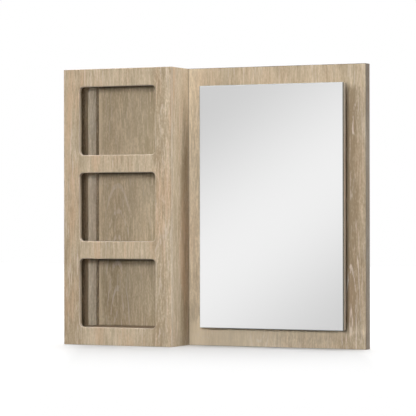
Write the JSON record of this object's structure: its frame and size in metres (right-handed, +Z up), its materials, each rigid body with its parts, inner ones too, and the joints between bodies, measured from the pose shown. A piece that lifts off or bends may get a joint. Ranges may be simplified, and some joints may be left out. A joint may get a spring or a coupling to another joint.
{
  "type": "wall mirror with shelf tower",
  "caption": "Wall mirror floating in front of a rectangular oak board, with an open shelf tower of rounded niches on its left side, hung on a two-part metal cleat.",
  "frame": {"origin": "middle of the wall cleat's screw line, on the wall plane", "axes": "+X to the viewer's right along the overall width, +Y into the wall, +Z up"},
  "size_m": [0.914, 0.1514, 0.813],
  "materials": {
    "oak_veneer": "whitewashed oak veneer, vertical grain, matt",
    "oak_solid": "whitewashed oak, vertical grain, matt",
    "oak_inside": "greyed oak, matt",
    "beech": "plain fluted dowel wood",
    "zinc": "zinc plated",
    "mirror_glass": "silvered glass with polished arris",
    "tape": "grey foam mounting tape",
    "black_stain": "black stained wood, matt",
    "aluminium": "mill finish extrusion",
    "rubber": "matt black"
  },
  "bodies": {
    "root": {"back_board": "oak_veneer", "edge_band_left": "oak_veneer", "edge_band_right": "oak_veneer", "edge_band_top": "oak_veneer", "edge_band_bottom": "oak_veneer", "mirror_backing": "oak_veneer", "tower_face": "oak_solid", "tower_left_side": "oak_solid", "tower_right_side": "oak_solid", "tower_top": "oak_inside", "tower_bottom": "oak_inside", "shelf_upper": "oak_inside", "shelf_middle": "oak_inside", "shelf_lower": "oak_inside", "corner_batten_left": "oak_inside", "corner_batten_right": "oak_inside", "shelf_dowels": "beech", "face_dowels": "beech", "tower_screws": "zinc", "spacer_screws": "zinc", "mirror_screws": "zinc", "hanger_screws": "zinc", "mirror_glass": "mirror_glass", "mirror_tape": "tape", "spacer_left": "black_stain", "spacer_right": "black_stain", "spacer_top": "black_stain", "spacer_bottom": "black_stain", "hanger_cleat": "aluminium", "wall_cleat": "aluminium", "wall_bumpers": "rubber"}
  },
  "joints": []
}
